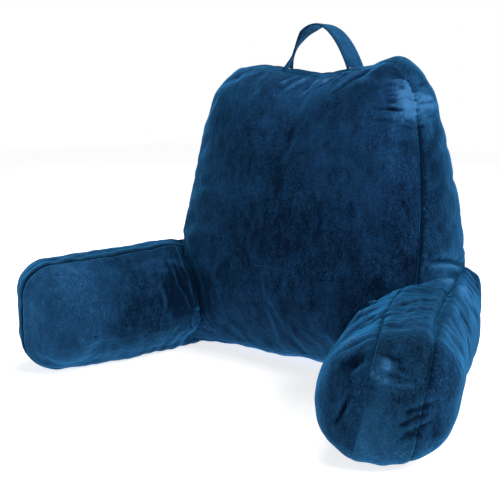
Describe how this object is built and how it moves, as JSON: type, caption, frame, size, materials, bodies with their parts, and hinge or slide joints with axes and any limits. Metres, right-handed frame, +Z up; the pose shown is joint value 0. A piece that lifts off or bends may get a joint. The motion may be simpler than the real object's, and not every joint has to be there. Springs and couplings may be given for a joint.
{
  "type": "reading pillow",
  "caption": "Wedge-shaped plush backrest pillow with a padded arm on each side and a strap handle on top, for sitting up in bed.",
  "frame": {"origin": "on the floor, under the middle of the pillow's bounding box", "axes": "+X to the right seen from the front, -Y out of the front of the backrest and along the arms, +Z up"},
  "size_m": [0.7253, 0.5226, 0.5319],
  "materials": {
    "plush_back": "short-pile plush, navy blue",
    "plush_back_boxing": "short-pile plush, navy blue",
    "plush_arm": "short-pile plush, navy blue",
    "plush_arm_boxing": "short-pile plush, navy blue",
    "plush_handle": "short-pile plush, navy blue"
  },
  "bodies": {
    "root": {"back_cushion": "plush_back", "back_boxing": "plush_back_boxing", "arm_left_cushion": "plush_arm", "arm_left_boxing": "plush_arm_boxing", "arm_right_cushion": "plush_arm", "arm_right_boxing": "plush_arm_boxing", "handle": "plush_handle"}
  },
  "joints": []
}
